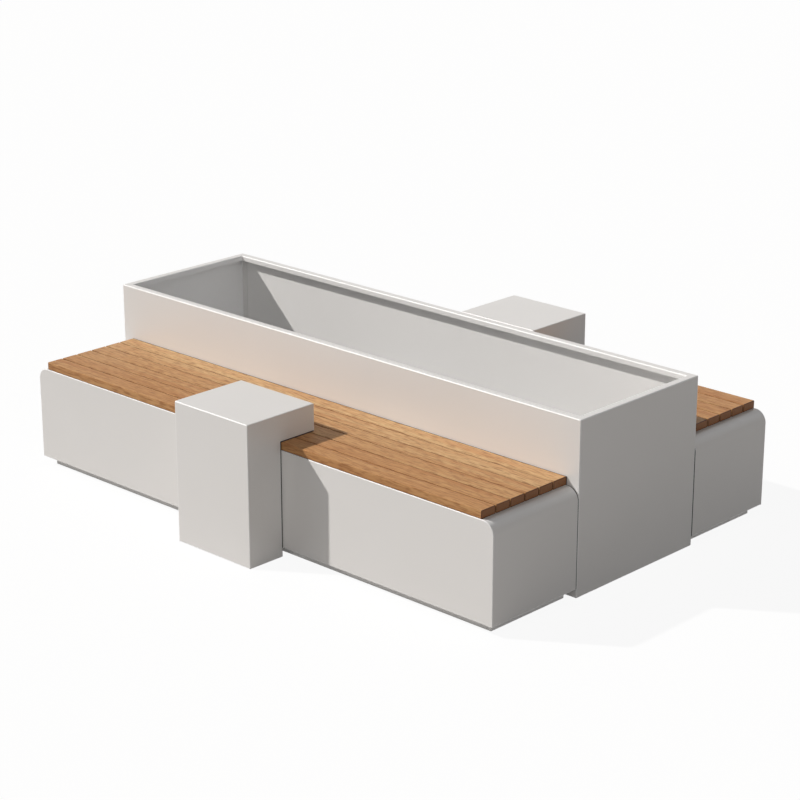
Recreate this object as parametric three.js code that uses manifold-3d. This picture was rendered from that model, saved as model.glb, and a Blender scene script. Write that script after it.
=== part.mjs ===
// Bench with planter. A long planter box of folded sheet steel has a slatted bench along each side, and a
// table block stands astride the middle of each bench. X runs along the planter, Y across it and Z up.
// The origin is on the ground under the middle of the planter, and all sizes are in millimetres.

import * as THREE from 'three';
import { mergeVertices } from 'three/addons/utils/BufferGeometryUtils.js';
import Module from 'manifold-3d';

// Sheet and fits
const SHEET = 3; // thickness of every folded sheet
const FIT_GAP = 0.3; // gap at cut edges, and round whatever passes through a hole
const OVERRUN = 2; // how far a cutting shape runs past the face that it cuts
const ROUND_SIDES = 12;
const HOLE_SIDES = 8;
const HEX_SIDES = 6;
const BEND_STEPS = 8;

// Planter box
const SET_LENGTH = 2500; // the planter and both benches end flush
const PLANTER_WIDTH = 690;
const PLANTER_HEIGHT = 685;
const RIM_WIDTH = 33; // inward fold along the top
const RIM_LIP = 22; // downward fold at the inner edge of the rim
const BASE_RETURN = 33; // inward fold along the ground
const CORNER_RETURN = 28; // upright fold of an end panel, lapping the long panel
const FLOOR_PLATE = 4;
const DRAIN_RADIUS = 10;
const DRAIN_ROW_SPREAD = 340;
const drainShares = [-0.42, -0.26, -0.17, -0.08, 0.08, 0.17, 0.26, 0.42];

// Channels under the planter floor
const BEARER_WIDTH = 64;
const BEARER_HEIGHT = 50;
const bearerShares = [-0.34, 0, 0.34];
const PLANTER_FOOT_INSET = 90;

// Ties between the long panels
const TIE_LEG = 50;
const TIE_THICKNESS = 4;
const TIE_PLATE = 100;
const TIE_HEIGHT = 250;
const tieShares = [-0.17, 0.17];

// Bench body
const BENCH_DEPTH = 456;
const BENCH_GAP = 4; // between a bench and the planter wall
const SEAT_METAL_TOP = 427;
const BEND_RADIUS = 50;
const END_RETURN = 70; // inward fold at the foot of a bench end
const PANEL_RETURN = 62; // inward fold at the foot of the face and the rear panel

// Plinth under a bench
const PLINTH_HEIGHT = 36;
const PLINTH_RECESS = 38; // behind the face and the ends
const PLINTH_REAR_RECESS = 22;
const PLINTH_FLANGE = 25;
const CORNER_PLATE = 90;
const CORNER_PLATE_THICKNESS = 5;
const BOSS_HEIGHT = 12;

// Seat boards
const BOARD_COUNT = 6;
const BOARD_THICKNESS = 32;
const BOARD_SPACE = 4.5;
const BOARD_SET_BACK = 2; // front board behind the bench face
const BOARD_WALL_SPACE = 2; // rear board to the planter wall
const BOARD_END_SPACE = 57; // board ends to the bench ends

// Rails under the seat sheet, with the screws that hold the boards
const RAIL_WIDTH = 50;
const RAIL_LEG = 30;
const railShares = [-0.44, 0, 0.44];
const SCREW_RADIUS = 4;
const SCREW_HEAD_RADIUS = 7;
const SCREW_HEAD_HEIGHT = 5;
const SCREW_BITE = 24; // screw length inside a board

// Table block
const TABLE_WIDTH = 400;
const TABLE_HEIGHT = 570;
const TABLE_LEG = 170; // block in front of the bench face
const TABLE_REACH = 172; // block over the boards, from the bench face
const TABLE_RETURN = 33;
const STUD_SPREAD = 240;
const STUD_HEIGHT = 250;
const STUD_RADIUS = 5;
const STUD_LENGTH = 26;
const NUT_RADIUS = 9;
const NUT_HEIGHT = 8;

// Bolts that tie a bench to the planter
const linkShares = [-0.32, 0.32];
const LINK_HEIGHT = 180;
const LINK_RADIUS = 6;
const LINK_HEAD_RADIUS = 11;
const LINK_HEAD_HEIGHT = 8;
const LINK_NUT_HEIGHT = 10;
const LINK_END = 6; // thread standing out of the nut
const SPACER_RADIUS = 16;

// Levelling foot
const PAD_RADIUS = 22;
const PAD_TOP_RADIUS = 17;
const PAD_HEIGHT = 10;
const PAD_EDGE = 6; // upright part of the pad's rim
const SPINDLE_RADIUS = 6;
const SPINDLE_LENGTH = 36;
const BOSS_RADIUS = 11;

// Places that follow from the sizes
const END_X = SET_LENGTH / 2;
const PLANTER_SIDE_Y = PLANTER_WIDTH / 2;
const PLANTER_INNER_Y = PLANTER_SIDE_Y - SHEET;
const FLOOR_BOTTOM = SHEET + BEARER_HEIGHT;
const FLOOR_TOP = FLOOR_BOTTOM + FLOOR_PLATE;
const BENCH_REAR_Y = -(PLANTER_SIDE_Y + BENCH_GAP);
const BENCH_FACE_Y = BENCH_REAR_Y - BENCH_DEPTH;
const FACE_INNER_Y = BENCH_FACE_Y + SHEET;
const REAR_INNER_Y = BENCH_REAR_Y - SHEET;
const SEAT_UNDERSIDE = SEAT_METAL_TOP - SHEET;
const SEAT_TOP = SEAT_METAL_TOP + BOARD_THICKNESS;
const BOARD_LENGTH = SET_LENGTH - 2 * BOARD_END_SPACE;
const BOARDS_FRONT_Y = BENCH_FACE_Y + BOARD_SET_BACK;
const BOARDS_REAR_Y = -(PLANTER_SIDE_Y + BOARD_WALL_SPACE);
const BOARD_PITCH = (BOARDS_REAR_Y - BOARDS_FRONT_Y + BOARD_SPACE) / BOARD_COUNT;
const BOARD_WIDTH = BOARD_PITCH - BOARD_SPACE;
const TABLE_FRONT_Y = BENCH_FACE_Y - TABLE_LEG;
const TABLE_REAR_Y = BENCH_FACE_Y + TABLE_REACH;
const TABLE_SIDE_X = TABLE_WIDTH / 2;

// Finishes
const POWDER_COAT = { color: 0xd5d1cd, roughness: 0.55, metalness: 0 };
const PLINTH_COAT = { color: 0xb4b1ad, roughness: 0.6, metalness: 0 };
const HARDWOOD = { color: 0xbd8550, roughness: 0.6, metalness: 0 };
const ZINC = { color: 0xa3a6a8, roughness: 0.45, metalness: 0.9 };
const FOOT_PLASTIC = { color: 0x2f3031, roughness: 0.7, metalness: 0 };

const wasm = await Module();
wasm.setup();

function toSolid(geometry) {
  const bare = geometry.clone();
  bare.deleteAttribute('normal');
  bare.deleteAttribute('uv');
  const merged = mergeVertices(bare);
  const vertProperties = new Float32Array(merged.attributes.position.array);
  const triVerts = new Uint32Array(merged.index.array);
  return new wasm.Manifold(new wasm.Mesh({ numProp: 3, vertProperties, triVerts }));
}

function toGeometry(solid) {
  const mesh = solid.getMesh();
  const geometry = new THREE.BufferGeometry();
  geometry.setAttribute('position', new THREE.BufferAttribute(new Float32Array(mesh.vertProperties), 3));
  geometry.setIndex(new THREE.BufferAttribute(new Uint32Array(mesh.triVerts), 1));
  geometry.computeVertexNormals();
  return geometry;
}

function join(first, ...others) {
  return toGeometry(others.reduce((solid, other) => solid.add(toSolid(other)), toSolid(first)));
}

function cut(geometry, ...tools) {
  return toGeometry(tools.reduce((solid, tool) => solid.subtract(toSolid(tool)), toSolid(geometry)));
}

// A flat outline pushed straight along one axis. The outline's pairs are (y, z) along X, (x, z) along Y
// and (x, y) along Z.
function prism(outline, axis, from, to) {
  const shape = new THREE.Shape(outline.map(([a, b]) => new THREE.Vector2(a, b)));
  const geometry = new THREE.ExtrudeGeometry(shape, { depth: 1, bevelEnabled: false });
  const position = geometry.attributes.position;
  for (let i = 0; i < position.count; i += 1) {
    const a = position.getX(i);
    const b = position.getY(i);
    const far = position.getZ(i) > 0;
    if (axis === 'x') position.setXYZ(i, far ? to : from, a, b);
    if (axis === 'y') position.setXYZ(i, a, far ? from : to, b);
    if (axis === 'z') position.setXYZ(i, a, b, far ? to : from);
  }
  return geometry;
}

function block([x0, x1], [y0, y1], [z0, z1]) {
  return prism([[x0, y0], [x1, y0], [x1, y1], [x0, y1]], 'z', z0, z1);
}

function bar([a, b], radius, sides, axis, from, to) {
  const outline = [];
  for (let i = 0; i < sides; i += 1) {
    const angle = (2 * Math.PI * i) / sides;
    outline.push([a + radius * Math.cos(angle), b + radius * Math.sin(angle)]);
  }
  return prism(outline, axis, from, to);
}

function mirrored(points) {
  return [...points, ...points.map(([a, b]) => [-a, b]).reverse()];
}

// A channel that opens downward, from the ends of its legs up to its web
function channelOutline(width, foot, top, thickness) {
  const outer = width / 2;
  const inner = outer - thickness;
  return [
    ...mirrored([[-inner, foot], [-outer, foot], [-outer, top]]),
    [inner, top - thickness],
    [-inner, top - thickness],
  ];
}

function add(group, name, finish, geometry, x = 0, y = 0) {
  const mesh = new THREE.Mesh(geometry, new THREE.MeshStandardMaterial(finish));
  mesh.name = name;
  mesh.position.set(x, y, 0);
  group.add(mesh);
}

// Levelling foot: a moulded pad on a threaded spindle, wound fully in so that the pad is level with the
// edge of the sheet around it
function footGeometry() {
  const profile = [
    [0, 0],
    [PAD_RADIUS, 0],
    [PAD_RADIUS, PAD_EDGE],
    [PAD_TOP_RADIUS, PAD_HEIGHT],
    [SPINDLE_RADIUS, PAD_HEIGHT],
    [SPINDLE_RADIUS, PAD_HEIGHT + SPINDLE_LENGTH],
    [0, PAD_HEIGHT + SPINDLE_LENGTH],
  ];
  const lathe = new THREE.LatheGeometry(profile.map(([r, h]) => new THREE.Vector2(r, h)), ROUND_SIDES);
  return lathe.rotateX(Math.PI / 2);
}

// Planter panel: wall, rim, lip and base return in one sheet, its ends mitred to meet the next panel.
// It is made as the panel on the -Y side, for a box that reaches outer in Y and half in X.
function panelGeometry(half, outer) {
  const fold = [
    [0, 0],
    [0, PLANTER_HEIGHT],
    [RIM_WIDTH, PLANTER_HEIGHT],
    [RIM_WIDTH, PLANTER_HEIGHT - RIM_LIP],
    [RIM_WIDTH - SHEET, PLANTER_HEIGHT - RIM_LIP],
    [RIM_WIDTH - SHEET, PLANTER_HEIGHT - SHEET],
    [SHEET, PLANTER_HEIGHT - SHEET],
    [SHEET, SHEET],
    [BASE_RETURN, SHEET],
    [BASE_RETURN, 0],
  ];
  const geometry = prism(fold.map(([inset, z]) => [-(outer - inset), z]), 'x', -1, 1);
  const position = geometry.attributes.position;
  for (let i = 0; i < position.count; i += 1) {
    const inset = outer + position.getY(i);
    position.setX(i, position.getX(i) * (half - inset - FIT_GAP / Math.SQRT2));
  }
  return geometry;
}

function longPanelGeometry() {
  const holes = linkShares.map((share) => bar(
    [share * SET_LENGTH, LINK_HEIGHT],
    LINK_RADIUS + FIT_GAP,
    HOLE_SIDES,
    'y',
    -PLANTER_SIDE_Y - OVERRUN,
    -PLANTER_INNER_Y + OVERRUN,
  ));
  return cut(panelGeometry(END_X, PLANTER_SIDE_Y), ...holes);
}

function endPanelGeometry() {
  const wall = -END_X + SHEET;
  const outer = PLANTER_INNER_Y - FIT_GAP;
  const returns = [-1, 1].map((side) => block(
    side < 0 ? [-outer, -outer + SHEET] : [outer - SHEET, outer],
    [wall - SHEET / 2, wall + CORNER_RETURN],
    [FLOOR_TOP + FIT_GAP, PLANTER_HEIGHT - SHEET - FIT_GAP],
  ));
  return join(panelGeometry(PLANTER_SIDE_Y, END_X), ...returns);
}

function floorGeometry() {
  const x = END_X - SHEET - FIT_GAP;
  const y = PLANTER_INNER_Y - FIT_GAP;
  const plate = block([-x, x], [-y, y], [FLOOR_BOTTOM, FLOOR_TOP]);
  const drains = drainShares.flatMap((share) => [-1, 1].map((side) => bar(
    [share * SET_LENGTH, (side * DRAIN_ROW_SPREAD) / 2],
    DRAIN_RADIUS,
    HOLE_SIDES,
    'z',
    FLOOR_BOTTOM - OVERRUN,
    FLOOR_TOP + OVERRUN,
  )));
  return cut(plate, ...drains);
}

// Planter bearer: a channel that rests on the base returns and carries the floor, with a boss for a foot
// near each end where it has feet
function bearerGeometry(footPlaces) {
  const y = PLANTER_INNER_Y - FIT_GAP;
  const web = FLOOR_BOTTOM - SHEET;
  const channel = prism(channelOutline(BEARER_WIDTH, SHEET, FLOOR_BOTTOM, SHEET), 'y', -y, y);
  if (footPlaces.length === 0) return channel;
  const bosses = footPlaces.map((place) => bar(
    [0, place],
    BOSS_RADIUS,
    ROUND_SIDES,
    'z',
    PAD_HEIGHT + FIT_GAP,
    web + SHEET / 2,
  ));
  const bores = footPlaces.map((place) => bar([0, place], SPINDLE_RADIUS + FIT_GAP, ROUND_SIDES, 'z', 0, web));
  return cut(join(channel, ...bosses), ...bores);
}

// Planter tie: an angle with a plate at each end, welded between the long panels below the soil line
function tieGeometry() {
  const top = TIE_HEIGHT + TIE_LEG / 2;
  const x = TIE_LEG / 2;
  const angle = prism(
    [
      [-x, top - TIE_LEG],
      [-x, top],
      [x, top],
      [x, top - TIE_THICKNESS],
      [-x + TIE_THICKNESS, top - TIE_THICKNESS],
      [-x + TIE_THICKNESS, top - TIE_LEG],
    ],
    'y',
    -(PLANTER_INNER_Y - TIE_THICKNESS / 2),
    PLANTER_INNER_Y - TIE_THICKNESS / 2,
  );
  const sheetX = [-TIE_PLATE / 2, TIE_PLATE / 2];
  const sheetZ = [TIE_HEIGHT - TIE_PLATE / 2, TIE_HEIGHT + TIE_PLATE / 2];
  const front = block(sheetX, [-PLANTER_INNER_Y, -PLANTER_INNER_Y + TIE_THICKNESS], sheetZ);
  const back = block(sheetX, [PLANTER_INNER_Y - TIE_THICKNESS, PLANTER_INNER_Y], sheetZ);
  return join(angle, front, back);
}

function addPlanter(group) {
  const longPanel = longPanelGeometry();
  const endPanel = endPanelGeometry();
  const turns = { front: 0, right: Math.PI / 2, back: Math.PI, left: -Math.PI / 2 };
  for (const [side, turn] of Object.entries(turns)) {
    const turned = new THREE.Group();
    turned.rotation.z = turn;
    const geometry = side === 'front' || side === 'back' ? longPanel : endPanel;
    add(turned, `planter_${side}_panel`, POWDER_COAT, geometry);
    group.add(turned);
  }
  add(group, 'planter_floor', ZINC, floorGeometry());
  const footY = PLANTER_SIDE_Y - PLANTER_FOOT_INSET;
  const footPlaces = [];
  bearerShares.forEach((share, i) => {
    const x = share * SET_LENGTH;
    const places = share === 0 ? [] : [-footY, footY];
    add(group, `planter_bearer_${i + 1}`, ZINC, bearerGeometry(places), x);
    places.forEach((y) => footPlaces.push([x, y]));
  });
  tieShares.forEach((share, i) => {
    add(group, `planter_tie_${i + 1}`, ZINC, tieGeometry(), share * SET_LENGTH);
  });
  footPlaces.forEach(([x, y], i) => {
    add(group, `planter_foot_${i + 1}`, FOOT_PLASTIC, footGeometry(), x, y);
  });
}

// Left half of the bench body seen from the front, from its foot up round the bend, set in by a distance
function bodyOutline(inset) {
  const radius = BEND_RADIUS - inset;
  const x = -END_X + BEND_RADIUS;
  const z = SEAT_METAL_TOP - BEND_RADIUS;
  const points = [[-END_X + inset, PLINTH_HEIGHT + inset]];
  for (let i = 0; i <= BEND_STEPS; i += 1) {
    const angle = Math.PI - (Math.PI / 2) * (i / BEND_STEPS);
    points.push([x + radius * Math.cos(angle), z + radius * Math.sin(angle)]);
  }
  return points;
}

function screwPlaces() {
  const rows = Array.from({ length: BOARD_COUNT }, (_, i) => boardY(i));
  return railShares.flatMap((share) => rows.map((y) => [share * BOARD_LENGTH, y]));
}

function boardY(i) {
  return BOARDS_FRONT_Y + BOARD_WIDTH / 2 + i * BOARD_PITCH;
}

// Bench shell: the seat top and both ends in one sheet, bent to a radius, with a fold at each foot
function shellGeometry() {
  const fold = -END_X + END_RETURN;
  const outer = [[fold, PLINTH_HEIGHT], ...bodyOutline(0)];
  const inner = [[fold, PLINTH_HEIGHT + SHEET], ...bodyOutline(SHEET)];
  const outline = [...mirrored(outer), ...mirrored(inner).reverse()];
  const sheet = prism(outline, 'y', FACE_INNER_Y, REAR_INNER_Y);
  const holes = screwPlaces().map((place) => bar(
    place,
    SCREW_RADIUS + FIT_GAP,
    HOLE_SIDES,
    'z',
    SEAT_UNDERSIDE - OVERRUN,
    SEAT_METAL_TOP + OVERRUN,
  ));
  return cut(sheet, ...holes);
}

// Front or rear panel of a bench: a flat sheet with the body's outline and a fold along its foot
function bodyPanelGeometry(sheetY, foldY, holeShares, holeHeight, holeRadius) {
  const sheet = prism(mirrored(bodyOutline(0)), 'y', ...sheetY);
  const foldX = END_X - END_RETURN - FIT_GAP;
  const fold = block([-foldX, foldX], foldY, [PLINTH_HEIGHT, PLINTH_HEIGHT + SHEET]);
  const holes = holeShares.map((x) => bar(
    [x, holeHeight],
    holeRadius + FIT_GAP,
    HOLE_SIDES,
    'y',
    sheetY[0] - OVERRUN,
    sheetY[1] + OVERRUN,
  ));
  return cut(join(sheet, fold), ...holes);
}

function faceGeometry() {
  return bodyPanelGeometry(
    [BENCH_FACE_Y, FACE_INNER_Y],
    [BENCH_FACE_Y + SHEET / 2, BENCH_FACE_Y + PANEL_RETURN],
    [-STUD_SPREAD / 2, STUD_SPREAD / 2],
    STUD_HEIGHT,
    STUD_RADIUS,
  );
}

function rearGeometry() {
  return bodyPanelGeometry(
    [REAR_INNER_Y, BENCH_REAR_Y],
    [BENCH_REAR_Y - PANEL_RETURN, BENCH_REAR_Y - SHEET / 2],
    linkShares.map((share) => share * SET_LENGTH),
    LINK_HEIGHT,
    LINK_RADIUS,
  );
}

// Bench plinth: a recessed ring of sheet with an inward flange under the body, and a plate and a boss in
// each corner for a foot
function plinthGeometry(footPlaces) {
  const x = END_X - PLINTH_RECESS;
  const front = BENCH_FACE_Y + PLINTH_RECESS;
  const rear = BENCH_REAR_Y - PLINTH_REAR_RECESS;
  const ring = (inset, z) => block([-x + inset, x - inset], [front + inset, rear - inset], z);
  const frame = cut(
    ring(0, [0, PLINTH_HEIGHT]),
    ring(SHEET, [-OVERRUN, PLINTH_HEIGHT - SHEET]),
    ring(PLINTH_FLANGE, [0, PLINTH_HEIGHT + OVERRUN]),
  );
  const plateBottom = PAD_HEIGHT + FIT_GAP;
  const plateTop = plateBottom + CORNER_PLATE_THICKNESS;
  const inner = x - SHEET / 2;
  const reach = SHEET / 2 + CORNER_PLATE;
  const plates = [-1, 1].flatMap((side) => {
    const plateX = side < 0 ? [-inner, -inner + reach] : [inner - reach, inner];
    return [
      block(plateX, [front + SHEET / 2, front + SHEET / 2 + reach], [plateBottom, plateTop]),
      block(plateX, [rear - SHEET / 2 - reach, rear - SHEET / 2], [plateBottom, plateTop]),
    ];
  });
  const bosses = footPlaces.map((place) => bar(
    place,
    BOSS_RADIUS,
    ROUND_SIDES,
    'z',
    plateBottom + CORNER_PLATE_THICKNESS / 2,
    plateTop + BOSS_HEIGHT,
  ));
  const bores = footPlaces.map((place) => bar(
    place,
    SPINDLE_RADIUS + FIT_GAP,
    ROUND_SIDES,
    'z',
    0,
    plateTop + BOSS_HEIGHT + OVERRUN,
  ));
  return cut(join(frame, ...plates, ...bosses), ...bores);
}

function benchFootPlaces() {
  const inset = SHEET + CORNER_PLATE / 2;
  const x = END_X - PLINTH_RECESS - inset;
  const front = BENCH_FACE_Y + PLINTH_RECESS + inset;
  const rear = BENCH_REAR_Y - PLINTH_REAR_RECESS - inset;
  return [front, rear].flatMap((y) => [[-x, y], [x, y]]);
}

// Seat board with blind holes for its screws
function boardGeometry() {
  const board = block(
    [-BOARD_LENGTH / 2, BOARD_LENGTH / 2],
    [-BOARD_WIDTH / 2, BOARD_WIDTH / 2],
    [SEAT_METAL_TOP, SEAT_TOP],
  );
  const pilots = railShares.map((share) => bar(
    [share * BOARD_LENGTH, 0],
    SCREW_RADIUS + FIT_GAP,
    HOLE_SIDES,
    'z',
    SEAT_METAL_TOP - OVERRUN,
    SEAT_METAL_TOP + SCREW_BITE + FIT_GAP,
  ));
  return cut(board, ...pilots);
}

// Seat rail: a channel under the seat sheet with one screw up into each board
function railGeometry() {
  const outline = channelOutline(RAIL_WIDTH, SEAT_UNDERSIDE - RAIL_LEG, SEAT_UNDERSIDE, SHEET);
  const channel = prism(outline, 'y', FACE_INNER_Y + FIT_GAP, REAR_INNER_Y - FIT_GAP);
  const headTop = SEAT_UNDERSIDE - SHEET;
  const screws = Array.from({ length: BOARD_COUNT }, (_, i) => [0, boardY(i)]).flatMap((place) => [
    bar(place, SCREW_HEAD_RADIUS, HEX_SIDES, 'z', headTop - SCREW_HEAD_HEIGHT, headTop + SHEET / 2),
    bar(place, SCREW_RADIUS, HOLE_SIDES, 'z', headTop, SEAT_METAL_TOP + SCREW_BITE),
  ]);
  return join(channel, ...screws);
}

// Table wrap: front, top and rear drop of the block in one folded sheet
function wrapGeometry() {
  const outline = [
    [TABLE_FRONT_Y, 0],
    [TABLE_FRONT_Y, TABLE_HEIGHT],
    [TABLE_REAR_Y, TABLE_HEIGHT],
    [TABLE_REAR_Y, SEAT_TOP],
    [TABLE_REAR_Y - SHEET, SEAT_TOP],
    [TABLE_REAR_Y - SHEET, TABLE_HEIGHT - SHEET],
    [TABLE_FRONT_Y + SHEET, TABLE_HEIGHT - SHEET],
    [TABLE_FRONT_Y + SHEET, SHEET],
    [TABLE_FRONT_Y + TABLE_RETURN, SHEET],
    [TABLE_FRONT_Y + TABLE_RETURN, 0],
  ];
  return prism(outline, 'x', -(TABLE_SIDE_X - SHEET), TABLE_SIDE_X - SHEET);
}

// Table step: the sheet that lies on the boards and stands against the bench face, with two studs through
// the face and their nuts behind it
function stepGeometry() {
  const outline = [
    [TABLE_REAR_Y - SHEET, SEAT_TOP],
    [TABLE_REAR_Y - SHEET, SEAT_TOP + SHEET],
    [BENCH_FACE_Y - SHEET, SEAT_TOP + SHEET],
    [BENCH_FACE_Y - SHEET, SHEET],
    [BENCH_FACE_Y - TABLE_RETURN, SHEET],
    [BENCH_FACE_Y - TABLE_RETURN, 0],
    [BENCH_FACE_Y, 0],
    [BENCH_FACE_Y, SEAT_TOP],
  ];
  const sheet = prism(outline, 'x', -(TABLE_SIDE_X - SHEET), TABLE_SIDE_X - SHEET);
  const studs = [-STUD_SPREAD / 2, STUD_SPREAD / 2].flatMap((x) => [
    bar([x, STUD_HEIGHT], STUD_RADIUS, HOLE_SIDES, 'y', BENCH_FACE_Y - SHEET / 2, BENCH_FACE_Y + STUD_LENGTH),
    bar([x, STUD_HEIGHT], NUT_RADIUS, HEX_SIDES, 'y', FACE_INNER_Y, FACE_INNER_Y + NUT_HEIGHT),
  ]);
  return join(sheet, ...studs);
}

function tableSideGeometry(from, to) {
  const outline = [
    [TABLE_FRONT_Y, 0],
    [BENCH_FACE_Y, 0],
    [BENCH_FACE_Y, SEAT_TOP],
    [TABLE_REAR_Y, SEAT_TOP],
    [TABLE_REAR_Y, TABLE_HEIGHT],
    [TABLE_FRONT_Y, TABLE_HEIGHT],
  ];
  return prism(outline, 'x', from, to);
}

// Link bolt: head inside the planter, spacer between the two walls and nut inside the bench
function linkBoltGeometry() {
  const axis = [0, LINK_HEIGHT];
  const nutFront = REAR_INNER_Y - LINK_NUT_HEIGHT;
  const headRear = -PLANTER_INNER_Y + LINK_HEAD_HEIGHT;
  return join(
    bar(axis, LINK_RADIUS, HOLE_SIDES, 'y', nutFront - LINK_END, headRear - LINK_HEAD_HEIGHT / 2),
    bar(axis, LINK_HEAD_RADIUS, HEX_SIDES, 'y', -PLANTER_INNER_Y, headRear),
    bar(axis, SPACER_RADIUS, ROUND_SIDES, 'y', BENCH_REAR_Y, -PLANTER_SIDE_Y),
    bar(axis, LINK_HEAD_RADIUS, HEX_SIDES, 'y', nutFront, REAR_INNER_Y),
  );
}

// One bench with its table block and link bolts, on the -Y side of the planter
function addBench(group, side) {
  const footPlaces = benchFootPlaces();
  add(group, `${side}_bench_shell`, POWDER_COAT, shellGeometry());
  add(group, `${side}_bench_face`, POWDER_COAT, faceGeometry());
  add(group, `${side}_bench_back`, POWDER_COAT, rearGeometry());
  add(group, `${side}_bench_plinth`, PLINTH_COAT, plinthGeometry(footPlaces));
  for (let i = 0; i < BOARD_COUNT; i += 1) {
    add(group, `${side}_bench_board_${i + 1}`, HARDWOOD, boardGeometry(), 0, boardY(i));
  }
  railShares.forEach((share, i) => {
    add(group, `${side}_bench_rail_${i + 1}`, ZINC, railGeometry(), share * BOARD_LENGTH);
  });
  footPlaces.forEach(([x, y], i) => {
    add(group, `${side}_bench_foot_${i + 1}`, FOOT_PLASTIC, footGeometry(), x, y);
  });
  add(group, `${side}_table_wrap`, POWDER_COAT, wrapGeometry());
  add(group, `${side}_table_step`, POWDER_COAT, stepGeometry());
  const inner = TABLE_SIDE_X - SHEET;
  add(group, `${side}_table_left_side`, POWDER_COAT, tableSideGeometry(-TABLE_SIDE_X, -inner));
  add(group, `${side}_table_right_side`, POWDER_COAT, tableSideGeometry(inner, TABLE_SIDE_X));
  linkShares.forEach((share, i) => {
    add(group, `${side}_link_bolt_${i + 1}`, ZINC, linkBoltGeometry(), share * SET_LENGTH);
  });
}

const benchWithPlanter = new THREE.Group();
addPlanter(benchWithPlanter);
for (const [side, turn] of [['front', 0], ['back', Math.PI]]) {
  const bench = new THREE.Group();
  bench.rotation.z = turn;
  addBench(bench, side);
  benchWithPlanter.add(bench);
}

export default benchWithPlanter;
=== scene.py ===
# Bench with planter: a long planter box of folded, powder-coated steel sheet, with a slatted
# hardwood bench along each side and a table block astride each bench. The script dresses the packed
# CAD frame, in metres, with X along the planter, Y towards the back bench and Z up, in the order in
# which the set is put together.
import math

import bmesh
import bpy
from mathutils import Matrix, Vector


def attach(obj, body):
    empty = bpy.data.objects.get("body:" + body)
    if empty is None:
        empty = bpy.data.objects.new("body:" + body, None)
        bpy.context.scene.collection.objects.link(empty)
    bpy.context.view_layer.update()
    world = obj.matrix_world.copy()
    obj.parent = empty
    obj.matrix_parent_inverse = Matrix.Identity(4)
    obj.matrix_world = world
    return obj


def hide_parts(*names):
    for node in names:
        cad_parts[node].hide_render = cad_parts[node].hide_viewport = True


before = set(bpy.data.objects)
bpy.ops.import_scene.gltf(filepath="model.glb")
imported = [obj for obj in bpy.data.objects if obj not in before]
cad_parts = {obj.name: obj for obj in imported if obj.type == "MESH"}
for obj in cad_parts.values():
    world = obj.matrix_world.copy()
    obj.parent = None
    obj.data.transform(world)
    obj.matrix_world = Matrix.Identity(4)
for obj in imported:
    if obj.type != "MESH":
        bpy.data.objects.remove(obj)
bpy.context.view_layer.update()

# Camera
# It stands in front of the right-hand end, a little above the rim, with a long lens. Its place was
# solved from the straight edges of the object.
MM = 0.001
CAMERA_AZIMUTH = math.radians(43.58)
CAMERA_ELEVATION = math.radians(18.99)
CAMERA_DISTANCE = 9400 * MM
CAMERA_TARGET = Vector((-139.8, 191.6, 296.5)) * MM
FILM_WIDTH = 36  # in millimetres, as is the lens
LENS = 102.36


def add_object(name, data):
    made = bpy.data.objects.new(name, data)
    bpy.context.scene.collection.objects.link(made)
    return made


def aim(aimed, direction):
    """Turns a camera or a lamp to look along a direction, upright."""
    aimed.rotation_mode = "QUATERNION"
    aimed.rotation_quaternion = direction.to_track_quat("-Z", "Y")


camera = add_object("camera", bpy.data.cameras.new("camera"))
camera.data.sensor_width = FILM_WIDTH
camera.data.lens = LENS
camera_back = Vector((
    math.sin(CAMERA_AZIMUTH) * math.cos(CAMERA_ELEVATION),
    -math.cos(CAMERA_AZIMUTH) * math.cos(CAMERA_ELEVATION),
    math.sin(CAMERA_ELEVATION),
))
camera.location = CAMERA_TARGET + camera_back * CAMERA_DISTANCE
aim(camera, -camera_back)
bpy.context.scene.camera = camera

# Planter panels
# Four panels of 3 mm steel sheet, each folded into a wall with an inward rim, a downward lip and a
# base return. The mitred ends are welded and ground flush, and the box is blasted, primed and
# powder coated.
PLANTER_LENGTH = 2500 * MM
PLANTER_WIDTH = 690 * MM
PLANTER_HEIGHT = 685 * MM
SHEET = 3 * MM
RIM_WIDTH = 33 * MM
RIM_LIP = 22 * MM
LIP_FOOT = PLANTER_HEIGHT - RIM_LIP
BASE_RETURN = 33 * MM
CORNER_RETURN = 28 * MM
FLOOR_TOP = 57 * MM
SEAM = 0.15 * MM  # the line that a ground weld leaves
FIT_GAP = 0.3 * MM  # play between sheets that lap
SAME_PLACE = 0.015 * MM  # closer places count as one
FOLD_RADIUS = 4.5 * MM
FOLD_STEPS = 5
BROKEN_EDGE = 0.7 * MM  # a laser-cut edge after blasting
EDGE_STEPS = 2
BAR_EDGES = 12  # how many a bar has
SMOOTH_ANGLE = math.radians(35)  # edges that turn further are shaded sharp
WHITE = "FFFFFF"
COAT_COLOUR = "E5E3E1"
COAT_SHADE = "E1DFDC"
COAT_ROUGHNESS = 0.34
COAT_IOR = 1.5
FOLD_HIGHLIGHT_SHARE = 0.55  # share of white painted onto a fold as a highlight
# inside the planter the coat is painted paler, as painted bounce light
INSIDE_PAINTED_LIGHT = "F7F6F5"
LONG_WALL_PAINTED_LIGHT = 0.2  # share of painted bounce light on the inside of each kind of wall
END_WALL_PAINTED_LIGHT = 1
PASS_SIZE = 380 * MM  # slow change of tone where the spray passes overlap
PEEL_SIZE = 8 * MM  # orange peel, about three times coarser than life so that it shows
PEEL_DEPTH = 0.05 * MM
PEEL_GLOSS = 0.05  # how far the peel moves the roughness either way
BUMP_STRENGTH = 0.3


def linear(colour):
    """An sRGB hex colour as the linear colour that a socket takes, by the sRGB standard's curve."""
    channels = [int(colour[i:i + 2], 16) / 255 for i in (0, 2, 4)]
    return [c / 12.92 if c <= 0.04045 else ((c + 0.055) / 1.055) ** 2.4 for c in channels] + [1]


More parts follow.
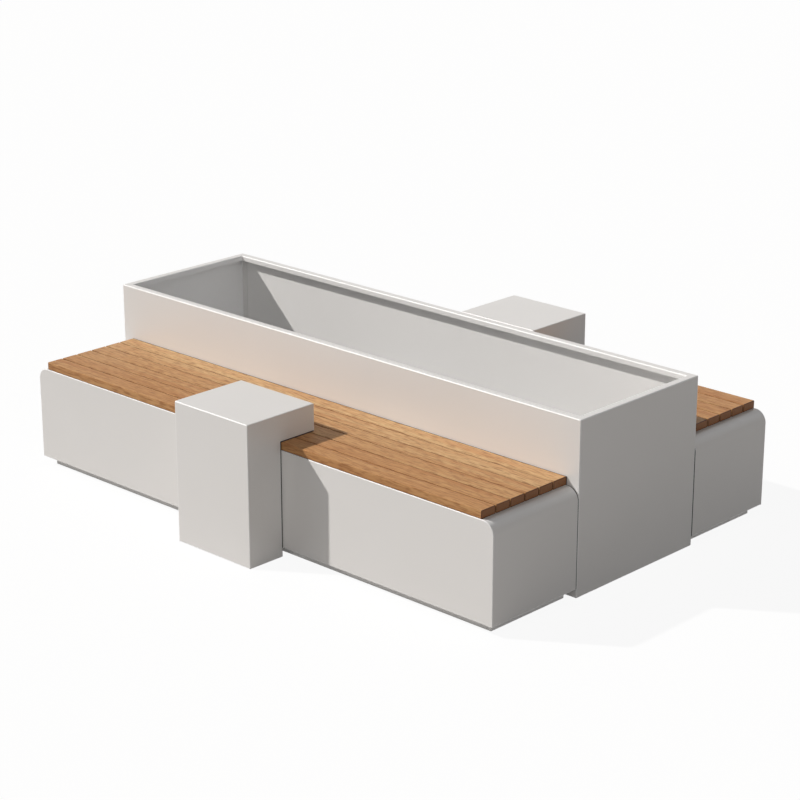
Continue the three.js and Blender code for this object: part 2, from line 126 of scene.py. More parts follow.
def fill_sockets(tree, node, sockets):
    """Gives each socket named a link or a value."""
    for key, value in sockets.items():
        if isinstance(value, bpy.types.NodeSocket):
            tree.links.new(value, node.inputs[key])
        else:
            node.inputs[key].default_value = value


def add_node(tree, kind, sockets, **settings):
    """Adds a node with its settings and fills its sockets."""
    made = tree.nodes.new("ShaderNode" + kind)
    for name, value in settings.items():
        setattr(made, name, value)
    fill_sockets(tree, made, sockets)
    return made


def new_material(name):
    """A material, its tree and shader, and the place on the object from which its patterns run."""
    material = bpy.data.materials.new(name)
    material.use_nodes = True
    tree = material.node_tree
    place = add_node(tree, "TexCoord", {}).outputs["Object"]
    return material, tree, tree.nodes["Principled BSDF"], place


def noise(tree, place, scale, detail):
    """Cloudy values about 0.5, with as many patches to the metre as the scale says."""
    sockets = {"Vector": place, "Scale": scale, "Detail": detail}
    return add_node(tree, "TexNoise", sockets).outputs["Fac"]


def face_value(tree, name):
    """The value that a mesh keeps for each face under this name, and 0 where it keeps none."""
    return add_node(tree, "Attribute", {}, attribute_name=name).outputs["Fac"]


def blend(tree, share, first, second):
    """Mixes two colours, each an sRGB hex or a link, through the node's sockets for colours."""
    pair = [linear(colour) if isinstance(colour, str) else colour for colour in (first, second)]
    mixed = add_node(tree, "Mix", {0: share, 6: pair[0], 7: pair[1]}, data_type="RGBA")
    return mixed.outputs[2]


def remap(tree, value, source=(0.0, 1.0), target=(0.0, 1.0)):
    """Stretches one range of values over another."""
    return add_node(tree, "MapRange", {
        "Value": value,
        "From Min": source[0],
        "From Max": source[1],
        "To Min": target[0],
        "To Max": target[1],
    }).outputs["Result"]


def dents(tree, height, depth, **settings):
    """A normal bent by a pattern of heights, too fine to be cut into the mesh."""
    sockets = {"Height": height, "Strength": BUMP_STRENGTH, "Distance": depth}
    return add_node(tree, "Bump", sockets, **settings).outputs["Normal"]


def powder_coat(name, colour, shade):
    """Polyester powder coat, sprayed and stoved: an even satin skin with a faint orange peel. White
    is painted along the folds as thin highlights. Inside the planter the coat is painted paler,
    most of all on the end walls, as painted bounce light."""
    material, tree, shader, place = new_material(name)
    tone = blend(tree, noise(tree, place, 1 / PASS_SIZE, detail=1.0), colour, shade)
    # white painted onto the folds as thin highlights
    fold_highlight = add_node(
        tree, "Math", {0: face_value(tree, "fold"), 1: FOLD_HIGHLIGHT_SHARE}, operation="MULTIPLY")
    highlighted = blend(tree, fold_highlight.outputs[0], tone, WHITE)
    peel = noise(tree, place, 1 / PEEL_SIZE, detail=1.5)
    glossiest, dullest = COAT_ROUGHNESS - PEEL_GLOSS, COAT_ROUGHNESS + PEEL_GLOSS
    # the inside mark paints the coat paler inside the planter, as painted bounce light
    fill_sockets(tree, shader, {
        "Base Color": blend(tree, face_value(tree, "inside"), highlighted, INSIDE_PAINTED_LIGHT),
        "Roughness": remap(tree, peel, target=(glossiest, dullest)),
        "IOR": COAT_IOR,
        "Normal": dents(tree, peel, PEEL_DEPTH),
    })
    return material


coat = powder_coat("polyester_powder_coat_light_grey", COAT_COLOUR, COAT_SHADE)


def is_near(value, target):
    return abs(value - target) < SAME_PLACE


def edges_where(bm, test):
    """The edges whose two ends both pass the test."""
    return [edge for edge in bm.edges if all(test(vert.co) for vert in edge.verts)]


def of_kind(parts, kind):
    return [part for part in parts if isinstance(part, kind)]


def round_off(bm, parts, radius, steps, affect="EDGES"):
    """Rounds edges or corners, and marks the faces of the rounding as a fold, which a powder coat
    lightens as a painted highlight.
    """
    fold = bm.faces.layers.float.get("fold") or bm.faces.layers.float.new("fold")
    made = bmesh.ops.bevel(
        bm, geom=parts, offset=radius, segments=steps, profile=0.5, affect=affect, material=-1)
    for face in made["faces"]:
        face[fold] = 1


def add_bar(bm, corner, opposite, edge):
    """A rectangular bar between two opposite corners. The rounding takes the last edges that the
    mesh lists. In a new mesh they are the bar's own, as on the boards. A known fault: in a mesh
    that holds roundings already, most or all of them are older edges, which are cut instead."""
    corner, opposite = Vector(corner), Vector(opposite)
    size = Matrix.Diagonal([abs(side) for side in opposite - corner] + [1])
    centre = Matrix.Translation((corner + opposite) / 2)
    bmesh.ops.create_cube(bm, size=1, matrix=centre @ size)
    round_off(bm, bm.edges[:][-BAR_EDGES:], edge, EDGE_STEPS)


def new_mesh(bm, name, material):
    mesh = bpy.data.meshes.new(name)
    bm.to_mesh(mesh)
    bm.free()
    mesh.materials.append(material)
    return mesh


def make_piece(bm, name, material, slot, *nodes):
    """Makes a piece that stands for CAD nodes, rides on the set and takes a finish."""
    for edge in bm.edges:
        edge.smooth = edge.is_manifold and edge.calc_face_angle() < SMOOTH_ANGLE
    for face in bm.faces:
        face.smooth = True
    piece = add_object(name, new_mesh(bm, name, material))
    piece.modifiers.new("flat_faces_stay_flat", "WEIGHTED_NORMAL").keep_sharp = True
    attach(piece, "assembly")
    if nodes:
        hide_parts(*nodes)


def planter_ring():
    """All four folded panels as one ring with mitred corners, before it is parted there."""
    bm = bmesh.new()
    section = [  # inset from the outside, and height
        (0, 0),
        (0, PLANTER_HEIGHT),
        (RIM_WIDTH, PLANTER_HEIGHT),
        (RIM_WIDTH, LIP_FOOT),
        (RIM_WIDTH - SHEET, LIP_FOOT),
        (RIM_WIDTH - SHEET, PLANTER_HEIGHT - SHEET),
        (SHEET, PLANTER_HEIGHT - SHEET),
        (SHEET, SHEET),
        (BASE_RETURN, SHEET),
        (BASE_RETURN, 0),
    ]
    # a square with a corner in each quarter, which is then spread to each inset
    diagonal = Matrix.Rotation(math.radians(45), 4, "Z")
    verts = bmesh.ops.create_circle(bm, segments=4, radius=1, matrix=diagonal)["verts"]
    first = edges = bm.edges[:]
    for step, (inset, height) in enumerate(section):
        if step:
            made = bmesh.ops.extrude_edge_only(bm, edges=edges)["geom"]
            verts = of_kind(made, bmesh.types.BMVert)
            edges = of_kind(made, bmesh.types.BMEdge)
        for vert in verts:
            vert.co.x = math.copysign(PLANTER_LENGTH / 2 - inset, vert.co.x)
            vert.co.y = math.copysign(PLANTER_WIDTH / 2 - inset, vert.co.y)
            vert.co.z = height
    bmesh.ops.bridge_loops(bm, edges=first + edges)
    bmesh.ops.recalc_face_normals(bm, faces=bm.faces)
    return bm


def ring_edges(bm, *lines):
    """The edges of the ring that run along lines, each given as inset and height."""
    def inset_of(place):
        return min(PLANTER_LENGTH / 2 - abs(place.x), PLANTER_WIDTH / 2 - abs(place.y))

    return [
        edge for inset, height in lines for edge in edges_where(
            bm, lambda place: is_near(inset_of(place), inset) and is_near(place.z, height))
    ]


def planter_panel(cuts, painted_light_share):
    """One panel of the ring. Each cut is a place, in shares of the half length and half width, and
    the direction in which the ring is taken away there."""
    bm = planter_ring()
    upright = [
        edge for edge in edges_where(bm, lambda place: is_near(abs(place.x), PLANTER_LENGTH / 2))
        if not is_near(edge.verts[0].co.z, edge.verts[1].co.z)
    ]
    folds = ring_edges(bm, (0, 0), (0, PLANTER_HEIGHT), (RIM_WIDTH, PLANTER_HEIGHT))
    round_off(bm, upright + folds, FOLD_RADIUS, FOLD_STEPS)
    raw = ring_edges(bm, (RIM_WIDTH, LIP_FOOT), (RIM_WIDTH - SHEET, LIP_FOOT))
    round_off(bm, raw, BROKEN_EDGE, EDGE_STEPS)
    for x, y, away_x, away_y in cuts:
        away = Vector((away_x, away_y, 0)).normalized()
        place = Vector((x * PLANTER_LENGTH / 2, y * PLANTER_WIDTH / 2, 0))
        bmesh.ops.bisect_plane(
            bm,
            geom=bm.verts[:] + bm.edges[:] + bm.faces[:],
            plane_co=place - away * SEAM / 2,
            plane_no=away,
            clear_outer=True,
        )
        rim = [edge for edge in bm.edges if edge.is_boundary]
        bmesh.ops.holes_fill(bm, edges=rim, sides=0)
    bm.normal_update()
    # inner faces get painted bounce light, more on the end walls than on the long walls
    inside = bm.faces.layers.float.new("inside")
    for face in bm.faces:
        outward = face.normal.xy.dot(face.calc_center_median().xy)
        if outward < -SHEET:
            face[inside] = painted_light_share
    return bm


for side, y in (("front", -1), ("back", 1)):
    bm = planter_panel([(0, 0, 0, -y), (-1, y, -1, -y), (1, y, 1, -y)], LONG_WALL_PAINTED_LIGHT)
    make_piece(bm, f"planter_{side}_wall", coat, "powder_coat", f"planter_{side}_panel")

for side, x in (("left", -1), ("right", 1)):
    bm = planter_panel([(x, -1, -x, -1), (x, 1, -x, 1)], END_WALL_PAINTED_LIGHT)
    # an upright fold at each end laps the long wall and is spot-welded to it
    wall = x * (PLANTER_LENGTH / 2 - SHEET)
    for y in (-1, 1):
        lap = y * (PLANTER_WIDTH / 2 - SHEET - FIT_GAP)
        add_bar(
            bm,
            (wall, lap, FLOOR_TOP + FIT_GAP),
            (wall - x * CORNER_RETURN, lap - y * SHEET, PLANTER_HEIGHT - SHEET - FIT_GAP),
            BROKEN_EDGE,
        )
    make_piece(bm, f"planter_{side}_end", coat, "powder_coat", f"planter_{side}_panel")

# Planter floor, bearers, ties and link bolts
# Mild steel, hot-dip galvanised because it is wet and out of sight. The floor plate lies on
# channels that rest on the base returns, the ties are welded across the box, and bolts with
# spacers hold the benches to its long walls.
ZINC_PARTS = ("floor", "bearer", "tie", "link_bolt")
ZINC_COLOUR = "D4D7D9"
ZINC_SHADE = "B2B6B8"
ZINC_ROUGHNESS = (0.38, 0.56)
SPANGLE_SIZE = 14 * MM
DULL_SIZE = 130 * MM


def galvanised_steel():
    """Hot-dip galvanised steel: a dull zinc skin with a spangle of crystals, each with its own tone
    and gloss, and cloudy patches of white dullness over it."""
    material, tree, shader, place = new_material("hot_dip_galvanised_steel")
    spangle = add_node(tree, "TexVoronoi", {"Vector": place, "Scale": 1 / SPANGLE_SIZE})
    crystal = add_node(tree, "SeparateColor", {"Color": spangle.outputs["Color"]})
    clouds = noise(tree, place, 1 / DULL_SIZE, detail=4.0)
    dulled = add_node(tree, "Math", {0: crystal.outputs[0], 1: clouds}, operation="MULTIPLY")
    fill_sockets(tree, shader, {
        "Base Color": blend(tree, dulled.outputs[0], ZINC_COLOUR, ZINC_SHADE),
        "Roughness": remap(tree, crystal.outputs[1], target=ZINC_ROUGHNESS),
        "Metallic": 1.0,
    })
    return material


def coat_node(name, material):
    """Gives a CAD node whose shape is right a better material."""
    for material_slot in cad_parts[name].material_slots:
        material_slot.material = material


zinc = galvanised_steel()
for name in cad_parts:
    if any(part in name for part in ZINC_PARTS):
        coat_node(name, zinc)

# Bench bodies
# Each bench is a hollow body of 3 mm sheet: one sheet makes the seat and both ends, bent to a
# radius, and a flat panel closes it in front and behind. The joints are welded and ground round,
# then powder coated.
BENCH_DEPTH = 456 * MM
BENCH_GAP = 4 * MM
SEAT_METAL_TOP = 427 * MM
PLINTH_HEIGHT = 36 * MM
END_RETURN = 70 * MM
PANEL_RETURN = 62 * MM
BENCH_END = PLANTER_LENGTH / 2
BENCH_REAR = -(PLANTER_WIDTH / 2 + BENCH_GAP)
BENCH_FACE = BENCH_REAR - BENCH_DEPTH
BEND_RADIUS = 50 * MM
BEND_STEPS = 24
BEND_HIGHLIGHT_TILT = 0.8  # the painted highlight on a bend is brightest where it faces up this far
BEND_HIGHLIGHT_SPREAD = 0.4
BEND_LEVEL = 0.99  # a face that faces up further belongs to the flat seat
GROUND_RADIUS = 2.8 * MM
REAR_RADIUS = 1 * MM
GROUND_STEPS = 4
MOSTLY = 0.5  # a face whose normal leans this far along an axis faces that way
SIDES = {"front": 0, "back": math.pi}  # the back is the front turned about the planter's middle


def flat_face(bm, corners):
    return bm.faces.new([bm.verts.new(corner) for corner in corners])


def push(bm, parts, move):
    """Extrudes faces or open edges, and moves the new end."""
    if isinstance(parts[0], bmesh.types.BMFace):
        made = bmesh.ops.extrude_face_region(bm, geom=parts)["geom"]
    else:
        made = bmesh.ops.extrude_edge_only(bm, edges=parts)["geom"]
    bmesh.ops.translate(bm, vec=move, verts=of_kind(made, bmesh.types.BMVert))


def body_outline(bm, y):
    """The bench body seen from the front as one face, with its upper corners bent round."""
    corners = [
        (-BENCH_END, PLINTH_HEIGHT),
        (BENCH_END, PLINTH_HEIGHT),
        (BENCH_END, SEAT_METAL_TOP),
        (-BENCH_END, SEAT_METAL_TOP),
    ]
    flat_face(bm, [(x, y, z) for x, z in corners])
    upper = [vert for vert in bm.verts if is_near(vert.co.z, SEAT_METAL_TOP)]
    round_off(bm, upper, BEND_RADIUS, BEND_STEPS, affect="VERTICES")
    return bm.faces[:][0]


def body_panel(outer, inner, radius):
    """The front or rear panel of a bench, its outer edge ground round, with a fold at its foot."""
    bm = bmesh.new()
    push(bm, [body_outline(bm, inner)], (0, outer - inner, 0))
    outline = edges_where(bm, lambda place: is_near(place.y, outer))
    round_off(bm, outline, radius, GROUND_STEPS)
    inward = math.copysign(1, inner - outer)
    reach = BENCH_END - END_RETURN - FIT_GAP
    add_bar(
        bm,
        (-reach, inner, PLINTH_HEIGHT),
        (reach, outer + inward * PANEL_RETURN, PLINTH_HEIGHT + SHEET),
        BROKEN_EDGE,
    )
    bmesh.ops.recalc_face_normals(bm, faces=bm.faces)
    return bm


def thicken(bm):
    """Gives a surface that faces outwards the thickness of the sheet, inwards."""
    bmesh.ops.recalc_face_normals(bm, faces=bm.faces)
    bmesh.ops.solidify(bm, geom=bm.faces[:], thickness=SHEET)
    bmesh.ops.recalc_face_normals(bm, faces=bm.faces)


def body_shell():
    """The seat and both ends of a bench, in one sheet with a fold at each foot."""
    bm = bmesh.new()
    front = BENCH_FACE + SHEET
    rear = BENCH_REAR - SHEET
    push(bm, [body_outline(bm, front)], (0, rear - front, 0))
    open_faces = [
        face for face in bm.faces
        if abs(face.normal.y) > MOSTLY or is_near(face.calc_center_median().z, PLINTH_HEIGHT)
    ]
    bmesh.ops.delete(bm, geom=open_faces, context="FACES")
    for x in (-1, 1):
        foot = edges_where(
            bm,
            lambda place: is_near(place.x, x * BENCH_END) and is_near(place.z, PLINTH_HEIGHT),
        )
        push(bm, foot, (-x * END_RETURN, 0, 0))
        round_off(bm, foot, FOLD_RADIUS, FOLD_STEPS)
    thicken(bm)
    # a band of painted highlight along the upper part of each bend, through the fold mark
    fold = bm.faces.layers.float["fold"]
    for face in bm.faces:
        if 0 < face.normal.z < BEND_LEVEL:
            face[fold] = max(0, 1 - abs(face.normal.z - BEND_HIGHLIGHT_TILT) / BEND_HIGHLIGHT_SPREAD)
    return bm


def make_side_piece(bm, side, name, material, slot, *nodes):
    """Makes a piece of one side of the set from a bmesh built in its place on the front side."""
    bmesh.ops.rotate(bm, verts=bm.verts, matrix=Matrix.Rotation(SIDES[side], 3, "Z"))
    make_piece(bm, f"{side}_{name}", material, slot, *[f"{side}_{node}" for node in nodes])


for side in SIDES:
    for name, bm in (
        ("shell", body_shell()),
        ("face", body_panel(BENCH_FACE, BENCH_FACE + SHEET, GROUND_RADIUS)),
        ("back", body_panel(BENCH_REAR, BENCH_REAR - SHEET, REAR_RADIUS)),
    ):
        make_side_piece(bm, side, f"bench_{name}_sheet", coat, "powder_coat", f"bench_{name}")

# Bench plinths and seat rails
# A bench stands on a recessed ring of folded sheet. Its coat is painted paler than the body, as
# painted light in the shade of the recess. Galvanised channels under the seat stiffen it and carry
# the screws that hold the boards from below.
# paler than the body coat, as painted light in the plinth's shaded recess
PLINTH_PAINTED_LIGHT = "F9F8F6"
PLINTH_PAINTED_LIGHT_TONE = "F4F2F0"
RAIL_COUNT = 3

plinth_lightened_coat = powder_coat("powder_coat_paled_by_painted_light", PLINTH_PAINTED_LIGHT, PLINTH_PAINTED_LIGHT_TONE)
for side in SIDES:
    coat_node(f"{side}_bench_plinth", plinth_lightened_coat)
    for number in range(1, RAIL_COUNT + 1):
        coat_node(f"{side}_bench_rail_{number}", zinc)

# Seat boards
# Six boards of oiled iroko to a bench, planed, with eased edges and open joints. They lie straight
# on the seat sheet and are screwed from below, so no fixing shows.
BOARD_COUNT = 6
BOARD_THICKNESS = 32 * MM
BOARD_SPACE = 4.5 * MM
BOARD_SET_BACK = 2 * MM
BOARD_WALL_SPACE = 2 * MM
BOARD_END_SPACE = 57 * MM
BOARD_EASE = 3 * MM
SEAT_TOP = SEAT_METAL_TOP + BOARD_THICKNESS
BOARD_END = BENCH_END - BOARD_END_SPACE
BOARDS_FRONT = BENCH_FACE + BOARD_SET_BACK
BOARDS_REAR = -(PLANTER_WIDTH / 2 + BOARD_WALL_SPACE)
BOARD_PITCH = (BOARDS_REAR - BOARDS_FRONT + BOARD_SPACE) / BOARD_COUNT
BOARD_WIDTH = BOARD_PITCH - BOARD_SPACE
HEART_PALE = "C69764"
HEART_DEEP = "B37C4B"
SAP_PALE = "D4B181"
SAP_DEEP = "C49161"
WOOD_DARK = "8C5A34"
# dirt and painted shade in the joints, and painted shade on the end edges and under the front
WOOD_JOINT_DIRT_AND_SHADE = "5E3A20"
END_GRAIN = "88603F"
WOOD_ROUGHNESS = (0.45, 0.65)
WOOD_SPECULAR = 0.3  # open pores scatter part of the shine
FIGURE_WIDTH = 22 * MM
FIGURE_LENGTH = 700 * MM
FIGURE_RANGE = (0.3, 0.7)
FLECK_WIDTH = 5 * MM  # a few times wider than in life, so that the flecks show
FLECK_LENGTH = 45 * MM
FLECK_RANGE = (0.45, 0.7)
FLECK_SHARE = 0.75
PORE_WIDTH = 1.2 * MM
PORE_LENGTH = 25 * MM
PORE_DEPTH = 0.2 * MM
RING_WIDTH = 5 * MM  # growth rings on the end grain
RING_RANGE = (0.35, 0.65)


def oiled_iroko():
    """Oiled iroko, planed: a warm brown figure along the board with short flecks and fine pores,
    redder in boards from the heart and yellower in those from near the sapwood, with dirt and
    painted shade in the joints, painted shade on the eased edges at the ends and under the front,
    and darker rings on the ends, where the oil soaks in."""
    material, tree, shader, place = new_material("iroko_planed_and_oiled")
    tone = face_value(tree, "tone")
    shift = add_node(tree, "CombineXYZ", {"X": tone, "Y": 0.0, "Z": tone})
    apart = add_node(tree, "VectorMath", {0: place, 1: shift.outputs[0]}, operation="ADD")

    def grain(length, width, thickness, detail):
        """Noise stretched to this size, different on each board."""
        stretched = add_node(tree, "Mapping", {
            "Vector": apart.outputs[0],
            "Scale": (1 / length, 1 / width, 1 / thickness),
        })
        return noise(tree, stretched.outputs[0], 1.0, detail)

    figure = grain(FIGURE_LENGTH, FIGURE_WIDTH, FIGURE_WIDTH, detail=2.0)
    fleck = grain(FLECK_LENGTH, FLECK_WIDTH, FLECK_WIDTH, detail=1.5)
    pore = grain(PORE_LENGTH, PORE_WIDTH, PORE_WIDTH, detail=1.0)
    ring = grain(math.inf, RING_WIDTH, 2 * RING_WIDTH, detail=1.0)
    pale = blend(tree, tone, HEART_PALE, SAP_PALE)
    deep = blend(tree, tone, HEART_DEEP, SAP_DEEP)
    planed = blend(tree, remap(tree, figure, source=FIGURE_RANGE), pale, deep)
    flecks = remap(tree, fleck, source=FLECK_RANGE, target=(0.0, FLECK_SHARE))
    flecked = blend(tree, flecks, planed, WOOD_DARK)
    sawn = blend(tree, remap(tree, ring, source=RING_RANGE), END_GRAIN, WOOD_DARK)
    clean = blend(tree, face_value(tree, "sawn_end"), flecked, sawn)
    # the joint mark darkens the wood with dirt and painted shade
    fill_sockets(tree, shader, {
        "Base Color": blend(tree, face_value(tree, "joint"), clean, WOOD_JOINT_DIRT_AND_SHADE),
        "Roughness": remap(tree, fleck, target=WOOD_ROUGHNESS),
        "Specular IOR Level": WOOD_SPECULAR,
        "Normal": dents(tree, pore, PORE_DEPTH, invert=True),
    })
    return material


TONES = {  # from the outer board to the one at the planter
    "front": [0.02, 0.12, 0.37, 0.56, 1, 1],
    "back": [0.05, 0.2, 0, 0.1, 0.3, 0.15],
}
# how dark each kind of face is painted, as dirt and painted shade
JOINT_DIRT_AND_SHADE = 1
JOINT_EDGE_DIRT_AND_SHADE = 0.2
ARRIS_PAINTED_SHADE = 1
FRONT_PAINTED_SHADE = 0.1
# how far the normal leans towards a side: on the side itself, on the half of its eased edge next to
# it, and on the other half
FLAT = 0.95
STEEP = 0.7
SLANTED = 0.3


def dirt_and_painted_shade(i, normal):
    """How dark a face of a board is painted: dirt and painted shade most in the joints, painted
    shade on the eased edges at the ends and under the front, less at the mouth of a joint, and a
    trace of painted shade on the front."""
    at_front = i == 0 and normal.y < -SLANTED
    at_wall = i == BOARD_COUNT - 1 and normal.y > SLANTED
    if at_wall or abs(normal.y) > FLAT and not at_front:
        return JOINT_DIRT_AND_SHADE
    if abs(normal.y) > STEEP and not at_front:
        return JOINT_EDGE_DIRT_AND_SHADE
    if SLANTED < abs(normal.x) < FLAT or at_front and normal.z < -SLANTED:
        return ARRIS_PAINTED_SHADE
    return FRONT_PAINTED_SHADE if at_front and normal.z < SLANTED else 0


iroko = oiled_iroko()
for side in SIDES:
    for i, tone in enumerate(TONES[side]):
        bm = bmesh.new()
        front = BOARDS_FRONT + i * BOARD_PITCH
        add_bar(
            bm,
            (-BOARD_END, front, SEAT_METAL_TOP),
            (BOARD_END, front + BOARD_WIDTH, SEAT_TOP),
            BOARD_EASE,
        )
        # the joint mark carries the dirt and painted shade of each face
        layers = {name: bm.faces.layers.float.new(name) for name in ("tone", "sawn_end", "joint")}
        for face in bm.faces:
            face[layers["tone"]] = tone
            face[layers["sawn_end"]] = abs(face.normal.x) > STEEP
            face[layers["joint"]] = dirt_and_painted_shade(i, face.normal)
        name = f"bench_board_{i + 1}"
        make_side_piece(bm, side, f"{name}_iroko", iroko, "hardwood", name)

# Table blocks
# Each block is folded from 3 mm sheet: a wrap makes its front, top and short rear drop, and a side
# plate is welded in at each end and ground round. A stepped sheet inside it lies on the boards and
# bolts to the bench face.
TABLE_WIDTH = 400 * MM
TABLE_HEIGHT = 570 * MM
TABLE_LEG = 170 * MM
TABLE_REACH = 172 * MM
TABLE_RETURN = 33 * MM
TABLE_FRONT = BENCH_FACE - TABLE_LEG
TABLE_REAR = BENCH_FACE + TABLE_REACH
TABLE_SIDE = TABLE_WIDTH / 2
# room left for a dark strip of painted shade
SHADE_STRIP_ROOM = 4 * MM


def table_wrap():
    """The front, top and rear drop of a block in one sheet, with a fold at its foot."""
    bm = bmesh.new()
    corners = [
        (TABLE_FRONT, 0),
        (TABLE_REAR, SEAT_TOP),
        (TABLE_REAR, TABLE_HEIGHT),
        (TABLE_FRONT, TABLE_HEIGHT),
    ]
    inner = TABLE_SIDE - SHEET
    push(bm, [flat_face(bm, [(-inner, y, z) for y, z in corners])], (2 * inner, 0, 0))
    bmesh.ops.recalc_face_normals(bm, faces=bm.faces)
    open_faces = [
        face for face in bm.faces
        if abs(face.normal.x) > MOSTLY or face.normal.z < -MOSTLY
    ]
    bmesh.ops.delete(bm, geom=open_faces, context="FACES")
    foot = edges_where(bm, lambda place: is_near(place.z, 0))
    push(bm, foot, (0, TABLE_RETURN, 0))
    bends = foot + edges_where(bm, lambda place: is_near(place.z, TABLE_HEIGHT))
    round_off(bm, [edge for edge in bends if edge.is_manifold], FOLD_RADIUS, FOLD_STEPS)
    thicken(bm)
    return bm


def table_side(outer, inner):
    """A side plate of a block, which stops short of the bench by the room for a dark strip of
    painted shade, its outer edge ground.
    """
    bm = bmesh.new()
    corners = [
        (TABLE_FRONT, 0),
        (BENCH_FACE - SHADE_STRIP_ROOM, 0),
        (BENCH_FACE - SHADE_STRIP_ROOM, SEAT_TOP + SHADE_STRIP_ROOM),
        (TABLE_REAR, SEAT_TOP + SHADE_STRIP_ROOM),
        (TABLE_REAR, TABLE_HEIGHT),
        (TABLE_FRONT, TABLE_HEIGHT),
    ]
    flat_face(bm, [(inner, y, z) for y, z in corners])
    upper = [vert for vert in bm.verts if is_near(vert.co.z, TABLE_HEIGHT)]
    round_off(bm, upper, FOLD_RADIUS, FOLD_STEPS, affect="VERTICES")
    push(bm, bm.faces[:], (outer - inner, 0, 0))
    outline = edges_where(bm, lambda place: is_near(place.x, outer))
    round_off(bm, outline, GROUND_RADIUS, GROUND_STEPS)
    bmesh.ops.recalc_face_normals(bm, faces=bm.faces)
    return bm


for side in SIDES:
    inner = TABLE_SIDE - SHEET
    for name, bm in (
        ("wrap", table_wrap()),
        ("left_side", table_side(-TABLE_SIDE, -inner)),
        ("right_side", table_side(TABLE_SIDE, inner)),
    ):
        make_side_piece(bm, side, f"table_{name}_sheet", coat, "powder_coat", f"table_{name}")
    coat_node(f"{side}_table_step", coat)

# Levelling feet
# Moulded pads of glass-filled nylon on threaded spindles. They screw down out of the plinths and
# bearers to level the set, and each rides on a body of its own.
NYLON_COLOUR = "2E2F31"
NYLON_SHADE = "38393B"
NYLON_ROUGHNESS = 0.55
NYLON_IOR = 1.53
NYLON_GRAIN = 3 * MM
NYLON_DEPTH = 0.1 * MM


def glass_filled_nylon():
    """Glass-filled nylon, injection moulded: near black, matt, with a fine grain from the mould."""
    material, tree, shader, place = new_material("glass_filled_nylon_black")
    grain = noise(tree, place, 1 / NYLON_GRAIN, detail=3.0)
    fill_sockets(tree, shader, {
        "Base Color": blend(tree, grain, NYLON_COLOUR, NYLON_SHADE),
        "Roughness": NYLON_ROUGHNESS,
        "IOR": NYLON_IOR,
        "Normal": dents(tree, grain, NYLON_DEPTH),
    })
    return material


nylon = glass_filled_nylon()
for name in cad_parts:
    if "_foot_" in name:
        coat_node(name, nylon)

# Shade strips
# Strips of the same nylon, set between the side plates of a block and the face and boards of
# its bench, and between the bench, its last board and the planter wall. They are painted shade:
# dark sheets that stand for the shadow in these gaps, and show as dark lines.
SHADE_STRIP_WIDTH = 2 * MM
SHADE_STRIP_SET_BACK = 0.8 * MM
SHADE_STRIP_EDGE = 0.3 * MM
SHADE_STRIP_DROP = 0.6 * MM  # below the tops of the boards


def table_strips():
    """An upright and a level dark bar at each side plate of a block, as painted shade in the gap.
    """
    bm = bmesh.new()
    outer = TABLE_SIDE - SHADE_STRIP_SET_BACK
    inner = outer - SHADE_STRIP_WIDTH
    front = BENCH_FACE - SHADE_STRIP_ROOM
    rear = TABLE_REAR - SHEET
    for x in (1, -1):
        for corner, opposite in (
            ((x * inner, front, PLINTH_HEIGHT), (x * outer, BENCH_FACE, SEAT_TOP)),
            ((x * inner, front, SEAT_TOP), (x * outer, rear, SEAT_TOP + SHADE_STRIP_ROOM)),
        ):
            add_bar(bm, corner, opposite, SHADE_STRIP_EDGE)
    return bm


def joint_strip():
    """A closed dark strip just inside the outline of a bench, as deep as the joint behind it, as
    painted shade in the gap to the planter.
    """
    bm = bmesh.new()
    middle = body_outline(bm, BENCH_REAR)
    margin = bmesh.ops.inset_individual(bm, faces=[middle], thickness=SHADE_STRIP_SET_BACK)["faces"]
    strip = bmesh.ops.inset_individual(bm, faces=[middle], thickness=SHADE_STRIP_WIDTH)["faces"]
    bmesh.ops.delete(bm, geom=margin + [middle], context="FACES")
    push(bm, strip, (0, BENCH_GAP, 0))
    bmesh.ops.recalc_face_normals(bm, faces=bm.faces)
    sharp = [edge for edge in bm.edges if edge.calc_face_angle() > SMOOTH_ANGLE]
    round_off(bm, sharp, SHADE_STRIP_EDGE, EDGE_STEPS)
    return bm


def board_strip():
    """A dark bar between the last board of a bench and the planter wall, as painted shade in that
    gap.
    """
    bm = bmesh.new()
    add_bar(
        bm,
        (-BOARD_END, BOARDS_REAR, SEAT_METAL_TOP),
        (BOARD_END, -PLANTER_WIDTH / 2, SEAT_TOP - SHADE_STRIP_DROP),
        SHADE_STRIP_EDGE,
    )
    return bm


for side in SIDES:
    for name, bm in (
        ("table", table_strips()),
        ("bench", joint_strip()),
        ("board", board_strip()),
    ):
        make_side_piece(bm, side, f"{name}_spacers", nylon, "foot_plastic")

# Floor and light
# A plain pale floor, a low sun from the front left, three wide soft lamps and a faint even sky. The
# floor shows white to the camera and in reflections, keeps the object's soft shadow, and bounces
# light up.
FLOOR_SIZE = 60  # in metres, so that it ends out of sight
FLOOR_BOUNCE = "ABA9A7"
SHADOW_SHARE = 0.08  # how much of the shadow the camera sees on the white
LAMPS = {  # where the light goes, across from X and down, and its angular width, all in degrees
    "sun": {"towards": 34.2, "down": 39.3, "width": 1.2, "power": 3.3, "colour": "FFFCF9"},
    "front_lamp": {"towards": 118, "down": 23, "width": 80, "power": 0.6, "colour": "FFFDFC"},
    "right_lamp": {"towards": 185, "down": 8, "width": 80, "power": 0.28, "colour": "FFFDFC"},
    "back_lamp": {"towards": 262, "down": 48, "width": 60, "power": 0.1, "colour": "FBFCFF"},
}
SKY_POWER = 0.05
SKY_COLOUR = "FBFCFF"


def cleared_tree(holder):
    """The node tree of a material or a world, emptied."""
    holder.use_nodes = True
    holder.node_tree.nodes.clear()
    return holder.node_tree


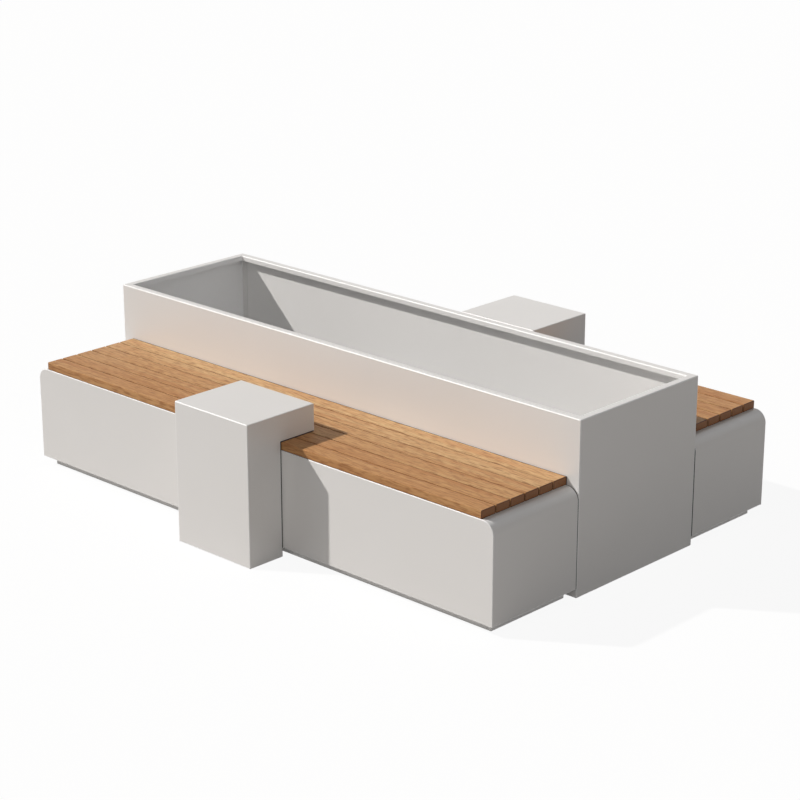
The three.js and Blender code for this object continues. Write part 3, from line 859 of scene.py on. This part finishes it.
def seen_directly(tree):
    """1 where a camera, mirror or glass ray looks, and 0 where light only bounces."""
    rays = add_node(tree, "LightPath", {}).outputs
    seen = rays["Is Camera Ray"]
    for kind in ("Is Glossy Ray", "Is Transmission Ray"):
        seen = add_node(tree, "Math", {0: seen, 1: rays[kind]}, operation="MAXIMUM").outputs[0]
    return seen


floor_material = bpy.data.materials.new("pale_floor")
tree = cleared_tree(floor_material)
bounce = add_node(tree, "BsdfDiffuse", {"Color": linear(FLOOR_BOUNCE)})
shadow = add_node(tree, "BsdfDiffuse", {"Color": linear(WHITE)})
white = add_node(tree, "Emission", {"Color": linear(WHITE), "Strength": 1.0})
shown = add_node(
    tree, "MixShader", {0: SHADOW_SHARE, 1: white.outputs[0], 2: shadow.outputs[0]})
surface = add_node(
    tree, "MixShader", {0: seen_directly(tree), 1: bounce.outputs[0], 2: shown.outputs[0]})
add_node(tree, "OutputMaterial", {"Surface": surface.outputs[0]})

bm = bmesh.new()
bmesh.ops.create_grid(bm, x_segments=1, y_segments=1, size=FLOOR_SIZE / 2)
floor = add_object("floor", new_mesh(bm, "floor", floor_material))

for name, lamp in LAMPS.items():
    light = add_object(name, bpy.data.lights.new(name, "SUN"))
    light.data.energy = lamp["power"]
    light.data.angle = math.radians(lamp["width"])
    light.data.color = linear(lamp["colour"])[:3]
    across = math.radians(lamp["towards"])
    down = math.radians(lamp["down"])
    aim(light, Vector((
        math.cos(across) * math.cos(down),
        math.sin(across) * math.cos(down),
        -math.sin(down),
    )))

world = bpy.data.worlds.new("even_sky")
bpy.context.scene.world = world
tree = cleared_tree(world)
sky = add_node(tree, "Background", {"Color": linear(SKY_COLOUR), "Strength": SKY_POWER})
backdrop = add_node(tree, "Background", {"Color": linear(WHITE), "Strength": 1.0})
either = add_node(
    tree, "MixShader", {0: seen_directly(tree), 1: sky.outputs[0], 2: backdrop.outputs[0]})
add_node(tree, "OutputWorld", {"Surface": either.outputs[0]})

bpy.context.scene.view_settings.view_transform = "Standard"
